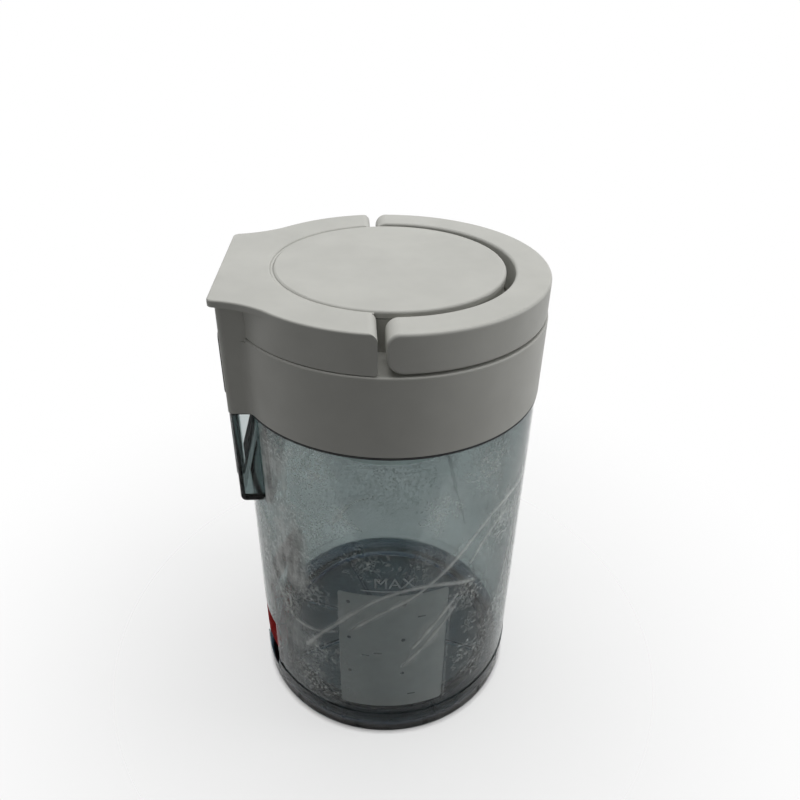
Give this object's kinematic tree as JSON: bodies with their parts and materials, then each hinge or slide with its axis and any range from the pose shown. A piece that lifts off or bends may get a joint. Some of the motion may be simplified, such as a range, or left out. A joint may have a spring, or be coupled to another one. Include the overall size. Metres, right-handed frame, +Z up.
{
  "type": "cyclone dust bin",
  "caption": "Round cyclone dust bin: smoke-clear tank under a grey head, with a folding bow handle, a hinged bottom lid and a red release latch.",
  "frame": {"origin": "on the tank's axis at floor level", "axes": "+Z up along the tank's axis, -X to the dock side with the ports and the latch, +X to the bow of the handle"},
  "size_m": [0.153, 0.1504, 0.249],
  "materials": {
    "smoke_clear": "clear, smoke-blue tint, polished",
    "smoke_dark": "dark smoke tint, polished",
    "head_grey": "fine-grained satin",
    "cyclone_grey": "satin",
    "cone_clear": "clear, faint tint",
    "black_rubber": "matt",
    "filter_white": "folded filter sheet",
    "steel": "drawn",
    "latch_red": "satin",
    "film_clear": "thin clear film with creases",
    "label_pale": "translucent, blank"
  },
  "bodies": {
    "bin": {"dust_tank": "smoke_clear", "tank_gasket": "black_rubber", "head_housing": "head_grey", "top_cover": "head_grey", "centre_cap": "head_grey", "cap_seal": "black_rubber", "handle_pins": "steel", "cover_screws": "steel", "cyclone_ceiling": "cyclone_grey", "cyclone_shroud": "cyclone_grey", "cyclone_cone": "cone_clear", "vortex_tube": "cyclone_grey", "filter_seal": "black_rubber", "filter_frame": "cyclone_grey", "filter_pleats": "filter_white", "inlet_seal": "black_rubber", "outlet_seal": "black_rubber", "lid_hinge_pin": "steel", "latch_pin": "steel", "latch_spring": "steel", "protective_film": "film_clear", "side_label": "label_pale"},
    "handle": {"handle": "head_grey"},
    "lid": {"bottom_lid": "smoke_dark", "lid_seal": "black_rubber"},
    "latch": {"release_latch": "latch_red"}
  },
  "joints": [
    {"name": "handle_swing", "type": "hinge", "parent": "bin", "child": "handle", "pos_m": [0.0042, 0, 0.2401], "axis": [0, -1, 0], "range_deg": [0, 90]},
    {"name": "lid_swing", "type": "hinge", "parent": "bin", "child": "lid", "pos_m": [0.0722, 0, 0.0026], "axis": [0, -1, 0], "range_deg": [0, 95]},
    {"name": "latch_rock", "type": "hinge", "parent": "bin", "child": "latch", "pos_m": [-0.0612, 0, 0.032], "axis": [0, 1, 0], "range_deg": [0, 6], "stiffness_Nm_per_rad": 0.08, "springref_deg": -8.59, "deforming": ["latch_spring"]}
  ]
}
